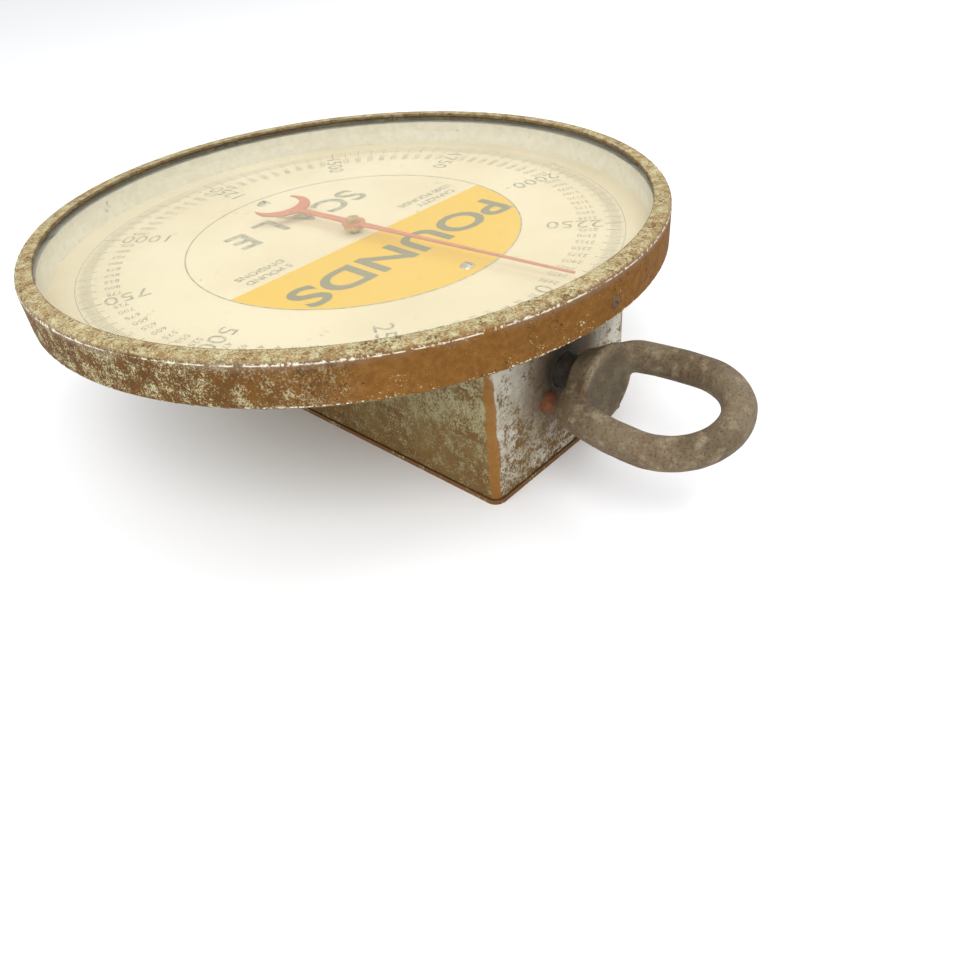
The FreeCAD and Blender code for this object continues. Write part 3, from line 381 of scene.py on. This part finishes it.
def printInk():
    look = printLook
    s = Surface("printInk")
    wear = s.rise(s.noise(210, 4, 0.7, seed=2.0), 0.38, 0.62)
    x, y, z = s.axes()
    # the print is darker on the yellow field
    radius = (x * x + y * y) ** 0.5
    above = s.rise(y, dialLook["chord"], dialLook["chord"] + 1 * mm)
    field = above * (1 - s.rise(radius, 108 * mm, 110 * mm))
    colour = s.mix(wear * (1 - field * 0.8), look["ink"], look["inkWorn"])
    colour = s.mix(field * 0.8, colour, look["inkField"])
    return s.finish(colour, 0.6, 0.0, wear, 0.01 * mm)


def pointerPaint():
    s = Surface("pointerPaint")
    chips = s.speckle(0.22, 420, 50, 1.0)
    colour = s.mix(s.noise(60, 3), dialLook["pointer"], dialLook["pointerWorn"])
    colour = s.mix(chips * 0.8, colour, dialLook["pointerChip"])
    return s.finish(colour, 0.5, 0.0, chips, 0.03 * mm)


dress(dialFace(), "dial_plate")
dress(pointerPaint(), "pointer")


def makePiece(name, points, faces, material, smooth=True):
    mesh = bpy.data.meshes.new(name)
    mesh.from_pydata(np.asarray(points).tolist(), [], faces)
    mesh.polygons.foreach_set("use_smooth", np.full(len(mesh.polygons), smooth))
    mesh.materials.append(material)
    mesh.validate()
    piece = bpy.data.objects.new(name, mesh)
    bpy.context.scene.collection.objects.link(piece)
    return piece


glyphs = {}


# a word's flat mesh, one unit high, centred on its own box
def glyph(text):
    if text not in glyphs:
        curve = bpy.data.curves.new("text", "FONT")
        curve.body = text
        curve.resolution_u = 2 if text.isdigit() else 4
        curve.offset = 0 if text.isdigit() else printLook["bold"]
        holder = bpy.data.objects.new("text", curve)
        bpy.context.scene.collection.objects.link(holder)
        mesh = bpy.data.meshes.new_from_object(holder.evaluated_get(bpy.context.evaluated_depsgraph_get()))
        points = np.zeros(len(mesh.vertices) * 3)
        mesh.vertices.foreach_get("co", points)
        points = points.reshape(-1, 3)[:, :2]
        faces = [tuple(face.vertices) for face in mesh.polygons]
        low, high = points.min(axis=0), points.max(axis=0)
        points = (points - (low + high) / 2) / (high[1] - low[1])
        bpy.data.objects.remove(holder)
        bpy.data.meshes.remove(mesh)
        glyphs[text] = points, faces
    return glyphs[text]


class Sheet:
    # flat printing gathered into one mesh
    def __init__(self):
        self.points, self.faces, self.count = [], [], 0

    # position = centre + turned (along, across) on the dial
    def add(self, points, faces, centre, turn):
        c, n = np.cos(turn), np.sin(turn)
        spot = points @ np.array([[c, n], [-n, c]]) + np.asarray(centre)
        self.points.append(np.column_stack([spot, np.full(len(spot), dialTop + printLook["lift"])]))
        self.faces += [tuple(self.count + k for k in face) for face in faces]
        self.count += len(spot)

    def word(self, text, centre, turn, height, stretch=1.0):
        points, faces = glyph(text)
        self.add(points * np.array([height * stretch, height]), faces, centre, turn)

    def width(self, text, height, stretch=1.0):
        return np.ptp(glyph(text)[0][:, 0]) * height * stretch

    def make(self, name, material):
        return makePiece(name, np.concatenate(self.points), self.faces, material, smooth=False)


ink = printInk()


# dial places: angle runs clockwise from +Y, position = radius * (sin angle, cos angle)
def onDial(radius, angle):
    return np.array([radius * np.sin(angle), radius * np.cos(angle)])


def numerals():
    look, sheet = printLook, Sheet()
    for value in range(0, look["fullScale"], look["smallStep"]):
        angle = 2 * np.pi * value / look["fullScale"]
        big = value % look["bigStep"] == 0
        height = look["bigHeight"] if big else look["smallHeight"]
        outer = look["bigOuter"] if big else look["smallOuter"]
        stretch = 1.12 if big else 1.0
        text = str(value)
        middle = outer - sheet.width(text, height, stretch) / 2
        # numbers lie along the radius and read outward on the +X half, inward on the other
        turn = np.pi / 2 - angle + (0 if angle <= np.pi else np.pi)
        if value == 0:
            turn = 0
            middle = outer - height / 2
        sheet.word(text, onDial(middle, angle), turn, height, stretch)
    return sheet.make("dialNumerals", ink)


def ticks():
    look = printLook
    count = look["fullScale"] // look["tickStep"]
    step = np.arange(count)
    angle = 2 * np.pi * step / count
    tenth = step % (look["bigStep"] // look["tickStep"]) == 0
    fifth = step % (look["smallStep"] // look["tickStep"]) == 0
    inner = np.select([tenth, fifth], look["tickInner"][:2], look["tickInner"][2]) * mm
    outer = np.where(fifth, *look["tickOuter"]) * mm
    half = np.select([tenth, fifth], look["tickHalf"][:2], look["tickHalf"][2]) * mm
    out = np.stack([np.sin(angle), np.cos(angle)], 1)
    side = np.stack([np.cos(angle), -np.sin(angle)], 1) * half[:, None]
    start, end = out * inner[:, None], out * outer[:, None]
    corners = np.stack([start - side, end - side, end + side, start + side], 1)
    points = np.dstack([corners, np.full(corners.shape[:2], dialTop + look["lift"])]).reshape(-1, 3)
    faces = np.arange(len(points)).reshape(-1, 4)[:, ::-1]
    return makePiece("dialTicks", points, faces.tolist(), ink, smooth=False)


# a flat ring between two radii: position = r (cos t, sin t)
def rings():
    look, points, faces = printLook, [], []
    steps = look["ringSteps"]
    t = np.linspace(0, 2 * np.pi, steps, endpoint=False)
    for radius, width in look["rings"]:
        inner = steps * len(points) + np.arange(steps)
        after = np.roll(inner, -1)
        faces.append(np.column_stack([inner, inner + steps, after + steps, after]))
        for r in (radius - width / 2, radius + width / 2):
            points.append(np.column_stack([r * mm * np.cos(t), r * mm * np.sin(t),
                                           np.full(steps, dialTop + look["lift"])]))
    return makePiece("dialRings", np.concatenate(points), np.concatenate(faces).tolist(), ink, smooth=False)


def words():
    look, sheet = printLook, Sheet()
    for letter, (x, y, lean) in look["scaleLetters"].items():
        sheet.word(letter, (x * mm, y * mm), np.radians(lean), look["scaleHeight"], 0.95)
    sheet.word(look["word"], look["wordPlace"], 0.0, look["wordHeight"], 1.15)
    for text, x, y, height in look["lines"]:
        sheet.word(text, (x * mm, y * mm), 0.0, height * mm)
    return sheet.make("dialWords", ink)


for piece in (numerals(), ticks(), rings(), words()):
    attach(piece, "case")
print("dial printed")

# Window glass
glassLook = {
    "haze": 0.024, "dust": 0.042, "scratch": 0.10, "gloss": 0.20, "mostVeil": 0.9,
    "tint": (0.72, 0.67, 0.50), "clear": (0.97, 0.97, 0.95),
}


def hazyGlass():
    look = glassLook
    s = Surface("hazyGlass")
    grime = s.rise(s.noise(6, 4, 0.6), 0.35, 0.7)
    scratches = s.speckle(0.04, 700, 40, 2.0)
    veil = s.node("ShaderNodeBsdfPrincipled",
                  inputs={"Base Color": look["tint"], "Roughness": 0.10, "IOR": 1.5})
    clear = s.node("ShaderNodeBsdfTransparent", inputs={"Color": look["clear"]})
    gloss = s.node("ShaderNodeFresnel", inputs={"IOR": 1.45})
    share = gloss * look["gloss"] + grime * look["dust"] + scratches * look["scratch"] + look["haze"]
    share = share.math("MINIMUM", look["mostVeil"])
    return s.show(s.node("ShaderNodeMixShader", inputs={0: share, 1: clear, 2: veil}))


dress(hazyGlass(), "glass")
print("glass done")

# Forged eye and hook
forgeLook = {
    "grey": (0.165, 0.124, 0.074), "pale": (0.285, 0.226, 0.140), "brown": (0.102, 0.071, 0.037),
    # dirt is the colour of the painted shade in each boss's hollow face
    "rust": (0.125, 0.068, 0.032), "dirt": (0.075, 0.058, 0.030),
    "voxel": 1.2 * mm, "relax": 6, "dentSize": 14 * mm, "dentDepth": 0.6 * mm,
}
# sizes in mm and angles in degrees, as in the solids
bossLook = {"start": 187.0, "depth": 20.0, "neck": 18.6, "rim": 25.5, "neckRound": 5.0, "rimRound": 3.0,
            "dish": 2.0}
eyeLook = {"bar": 9.65, "bend": 35.5, "centre": 247.8, "legBend": 193.0, "base": 197.15, "corner": 14.3,
           "tilt": 8.9}
hookLook = {"bar": 11.0, "bowl": 30.0, "centre": 265.0, "tip": 20.0, "root": 4.0, "swell": 0.07,
            "pointFrom": 0.8, "pointThin": 4.4, "pointCurve": 1.6}


def forgedSteel():
    look = forgeLook
    s = Surface("forgedSteel")
    broad, middle, fine = s.noise(26, 4, 0.6), s.noise(130, 4, 0.65, seed=2.0), s.noise(620, 4, 0.7, seed=4.0)
    colour = s.mix(s.rise(broad, 0.38, 0.62), look["brown"], look["grey"])
    colour = s.mix(s.rise(middle, 0.46, 0.74) * 0.8, colour, look["pale"])
    colour = s.mix(s.speckle(0.34, 420, 45, 6.0) * 0.5, colour, look["rust"])
    colour = s.mix(s.rise(fine, 0.52, 0.70) * 0.55, colour, look["brown"])
    pits = 1 - s.rise(fine, 0.30, 0.46)
    # painted shade darkens the hollow face of each boss
    x, y, z = s.axes()
    reach = (x * x + (z - axisHeight) * (z - axisHeight)) ** 0.5
    away = y.math("ABSOLUTE")
    face = s.rise(away, 201 * mm, 205 * mm) * (1 - s.rise(away, 210 * mm, 216 * mm))
    hollow = (1 - s.rise(reach, 17 * mm, 24 * mm)) * face
    colour = s.mix(hollow * 0.55, colour, look["dirt"])
    height = middle * 0.7 + fine * 0.5 - pits * 0.6 + broad * 0.5
    return s.finish(colour, 0.62 + fine * 0.2, 0.0, height, 0.6 * mm, specular=0.32)


# the faces of a skin of rings whose two end poles are the last points: the strips between the rings, and the
# fans to the poles; flip turns them round
def skinFaces(count, sides, flip=False):
    ring = np.arange(count * sides).reshape(count, sides)
    after = np.roll(ring, -1, axis=1)
    strips = np.stack([ring[:-1], ring[1:], after[1:], after[:-1]], -1).reshape(-1, 4)
    first, last = np.full(sides, count * sides), np.full(sides, count * sides + 1)
    fans = np.vstack([np.column_stack([first, ring[0], after[0]]),
                      np.column_stack([last, after[-1], ring[-1]])])
    if flip:
        strips, fans = (np.roll(rows[:, ::-1], 1, axis=1) for rows in (strips, fans))
    return strips, fans


# a round bar along a path: position = path + radius (cos a * side + sin a * up); the ends are closed by domes
def barAlong(path, radius, sides=28):
    path = np.asarray(path, float)
    ahead = np.gradient(path, axis=0)
    ahead /= np.linalg.norm(ahead, axis=1)[:, None]
    normal = np.cross(ahead[0], ahead[len(ahead) // 4])
    normal /= np.linalg.norm(normal)
    side = np.cross(ahead, normal)
    a = np.linspace(0, 2 * np.pi, sides, endpoint=False)
    # the radius may change along the bar, and the first and last rings close to a point over a dome
    radius = np.broadcast_to(np.asarray(radius, float), len(path)).copy()
    dome = np.radians([75, 55, 35, 15])
    slim, out = np.cos(dome), np.sin(dome)[:, None]
    head = path[0] - ahead[0] * radius[0] * out
    tail = path[-1] + ahead[-1] * radius[-1] * out[::-1]
    centres = np.vstack([head, path, tail])
    radii = np.concatenate([radius[0] * slim, radius, radius[-1] * slim[::-1]])
    sideways = np.vstack([side[:1].repeat(len(dome), 0), side, side[-1:].repeat(len(dome), 0)])
    turns = np.cos(a)[None, :, None] * sideways[:, None] + np.sin(a)[None, :, None] * normal
    skin = centres[:, None] + radii[:, None, None] * turns
    poles = path[0] - ahead[0] * radius[0], path[-1] + ahead[-1] * radius[-1]
    return np.vstack([skin.reshape(-1, 3), *poles]), skinFaces(len(centres), sides, flip=True)


# a turned solid about the Y line: position = (r(t) cos a, y(t), r(t) sin a), closed at both poles
def turned(profile, sides=64):
    radius, along = np.asarray(profile, float).T
    a = np.linspace(0, 2 * np.pi, sides, endpoint=False)
    points = np.stack([radius[:, None] * np.cos(a), np.repeat(along[:, None], sides, 1),
                       radius[:, None] * np.sin(a)], -1).reshape(-1, 3)
    return np.vstack([points, [0, along[0], 0], [0, along[-1], 0]]), skinFaces(len(radius), sides)


def arcPath(centre, radius, start, end, count):
    t = np.radians(np.linspace(start, end, count))
    return np.column_stack([centre[0] + radius * np.cos(t), centre[1] + radius * np.sin(t)])


# several closed shapes melted into one skin by a fine voxel remesh, then smoothed
def forge(name, shapes, place, material):
    look, points, faces = forgeLook, np.empty((0, 3)), []
    for shape, (strips, fans) in shapes:
        faces += [*(strips + len(points)).tolist(), *(fans + len(points)).tolist()]
        points = np.vstack([points, shape])
    piece = makePiece(name, place(points) * mm, faces, material)
    melt = piece.modifiers.new("melt", "REMESH")
    melt.mode, melt.voxel_size = "VOXEL", look["voxel"]
    melt.use_smooth_shade = True
    relax = piece.modifiers.new("relax", "SMOOTH")
    relax.factor, relax.iterations = 0.5, look["relax"]
    dents = bpy.data.textures.new(name + "Dents", "CLOUDS")
    dents.noise_scale = look["dentSize"]
    hammer = piece.modifiers.new("hammer", "DISPLACE")
    hammer.texture, hammer.strength, hammer.mid_level = dents, look["dentDepth"], 0.5
    hammer.texture_coords = "LOCAL"
    shown = piece.evaluated_get(bpy.context.evaluated_depsgraph_get())
    final = bpy.data.meshes.new_from_object(shown)
    piece.modifiers.clear()
    piece.data = final
    final.name = name
    final.polygons.foreach_set("use_smooth", np.full(len(final.polygons), True))
    final.materials.clear()
    final.materials.append(material)
    return piece


def flat(path):
    return np.column_stack([path, np.zeros(len(path))])


# the boss is a cone about the load axis with both edges rounded and a shallow hollow in its wide face
def bossProfile():
    look = bossLook
    a = np.radians(np.linspace(0, 90, 6))
    end = look["start"] + look["depth"]
    neck = np.column_stack([look["neck"] - look["neckRound"] * (1 - np.sin(a)),
                            look["start"] + look["neckRound"] * (1 - np.cos(a))])
    rim = np.column_stack([look["rim"] - look["rimRound"] * (1 - np.cos(a)),
                           end - look["rimRound"] * (1 - np.sin(a))])
    r = np.linspace(look["rim"] - look["rimRound"], 1.0, 8)[1:]
    hollow = np.column_stack([r, end - look["dish"] * (1 - (r / look["rim"]) ** 2)])
    return np.vstack([neck, rim, hollow])


# the eye is drawn in its own plane and turned about the load axis to its tilt: a straight base, a corner arc,
# a long leg arc tangent to it and a half circle, then the same back
def makeEye(material):
    look = eyeLook
    rise = look["centre"] - look["base"] - look["corner"]
    inner = look["legBend"] - look["corner"]
    drop = np.degrees(np.arcsin(rise / inner))
    cornerX = look["bend"] - look["legBend"] + np.sqrt(inner ** 2 - rise ** 2)
    base = np.column_stack([np.linspace(0, cornerX, 6), np.full(6, look["base"])])
    corner = arcPath((cornerX, look["base"] + look["corner"]), look["corner"], 270, 360 - drop, 14)
    leg = arcPath((look["bend"] - look["legBend"], look["centre"]), look["legBend"], -drop, 0, 18)
    bend = arcPath((0, look["centre"]), look["bend"], 0, 90, 24)
    right = np.vstack([base, corner[1:], leg[1:], bend[1:]])
    bar = barAlong(flat(np.vstack([right, right[-2::-1] * (-1, 1)])), look["bar"])
    tilt = np.radians(look["tilt"])

    def place(points):
        x, y, z = points.T
        return np.column_stack([x * np.cos(tilt) + z * np.sin(tilt), y,
                                -x * np.sin(tilt) + z * np.cos(tilt) + axisHeight / mm])

    return forge("forgedEye", [bar, turned(bossProfile())], place, material)


def makeHook(material):
    look = hookLook
    end = bossLook["start"] + bossLook["depth"] - look["root"]
    reach = look["centre"] - end
    away = (reach ** 2 - look["bowl"] ** 2) / (2 * look["bowl"])
    swing = np.degrees(np.arctan(reach / away))
    neck = arcPath((-end, -away), away, 90, 90 + swing, 20)
    bowl = arcPath((-look["centre"], 0), look["bowl"], 270 + swing, 90 - look["tip"], 64)
    yz = np.vstack([neck, bowl[1:]])
    path = np.column_stack([np.zeros(len(yz)), yz])
    # full in the bowl, slimmer at the neck and the point
    t = np.linspace(0, 1, len(path))
    full = look["bar"] * (1 - look["swell"] + look["swell"] * np.sin(np.pi * t))
    point = np.clip((t - look["pointFrom"]) / (1 - look["pointFrom"]), 0, 1) ** look["pointCurve"]
    bar = barAlong(path, full - look["pointThin"] * point)
    # mirrored along Y, so the rows run the other way to keep the faces outward
    disc = turned(bossProfile()[::-1] * (1, -1))

    def place(points):
        return points + np.array([0, 0, axisHeight / mm])

    return forge("forgedHook", [bar, disc], place, material)


steel = forgedSteel()
eye, hook = makeEye(steel), makeHook(steel)
for piece, node, body in ((eye, "top_eye", "eye"), (hook, "lower_hook", "hook")):
    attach(piece, body)
    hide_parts(node)
    print(piece.name, "has", len(piece.data.polygons), "faces")

# Load springs
# "left" is the share of its length that a spring keeps at full load
springLook = {"turns": 12, "wire": 5.25 * mm, "coil": 18.75 * mm, "left": 140 / 165, "sides": 12, "steps": 32}


# a helix: centre line = (coil cos t, pitch t, coil sin t), with a ring of the wire's radius round it
def makeSpring(side):
    look = springLook
    low, high = (np.array(corner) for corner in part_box("load_spring_" + side))
    middle = (low + high) / 2
    t = np.linspace(0, 2 * np.pi * look["turns"], look["steps"] * look["turns"] + 1)
    length = high[1] - low[1] - 2 * look["wire"]
    along = low[1] + look["wire"] + length * t / t[-1]
    out = np.column_stack([np.cos(t), 0 * t, np.sin(t)])
    centre = look["coil"] * out + np.column_stack([middle[0] + 0 * t, along, middle[2] + 0 * t])
    a = np.linspace(0, 2 * np.pi, look["sides"], endpoint=False)
    skin = centre[:, None] + look["wire"] * (np.cos(a)[None, :, None] * out[:, None]
                                             + np.sin(a)[None, :, None] * np.array([0, 1, 0]))
    points = np.vstack([skin.reshape(-1, 3), centre[0], centre[-1]])
    strips, fans = skinFaces(len(t), look["sides"])
    piece = makePiece("spring" + side.capitalize(), points, [*strips.tolist(), *fans.tolist()], wireMaterial)
    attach(piece, "case")
    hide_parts("load_spring_" + side)
    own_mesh(piece)


wireMaterial = metal("springWire")
for side in ("left", "right"):
    makeSpring(side)
print("springs wound")

# Floor, light and camera
studio = {
    "camera": (0.33918, 0.42365, 0.31754), "angles": (51.115, 3.934, 130.773), "lens": 30.33,
    "floor": (0.86, 0.86, 0.87), "sky": (0.98, 0.99, 1.0), "skyStrength": 0.95,
    "floorSpeck": (0.80, 0.80, 0.80), "floorReach": 6, "sensor": 36, "nearest": 0.01,
    # each lamp's place, size and watts, and the height of the point that all of them face
    "lamps": [((0.9, 1.1, 1.7), 1.3, 22), ((-1.3, 0.3, 1.6), 1.6, 18), ((1.2, -0.5, 0.7), 1.2, 7)],
    "aim": 0.08,
}
floorMesh = bpy.data.meshes.new("floor")
far = studio["floorReach"]
floorMesh.from_pydata([(-far, -far, 0), (far, -far, 0), (far, far, 0), (-far, far, 0)], [], [(0, 1, 2, 3)])
floor = bpy.data.objects.new("floor", floorMesh)
bpy.context.scene.collection.objects.link(floor)
ground = Surface("floorPaint")
grain = ground.noise(900, 2)
matte = ground.mix(grain * 0.1, studio["floor"], studio["floorSpeck"])
floorMesh.materials.append(ground.finish(matte, 0.55, 0.0, grain, 0.02 * mm))

world = bpy.data.worlds.new("studio")
bpy.context.scene.world = world
world.use_nodes = True
backdrop = world.node_tree.nodes["Background"]
backdrop.inputs["Color"].default_value = (*studio["sky"], 1)
backdrop.inputs["Strength"].default_value = studio["skyStrength"]

for place, size, watts in studio["lamps"]:
    lamp = bpy.data.lights.new("softLamp", "AREA")
    lamp.size, lamp.energy = size, watts
    holder = bpy.data.objects.new("softLamp", lamp)
    holder.location = place
    holder.rotation_euler = (Vector(place) - Vector((0, 0, studio["aim"]))).to_track_quat("Z", "Y").to_euler()
    bpy.context.scene.collection.objects.link(holder)

lens = bpy.data.cameras.new("camera")
lens.lens, lens.sensor_width = studio["lens"], studio["sensor"]
lens.clip_start = studio["nearest"]
bpy.context.scene.view_settings.view_transform = "Standard"
camera = bpy.data.objects.new("camera", lens)
camera.location = studio["camera"]
camera.rotation_euler = np.radians(studio["angles"])
bpy.context.scene.collection.objects.link(camera)
bpy.context.scene.camera = camera
print("studio ready")
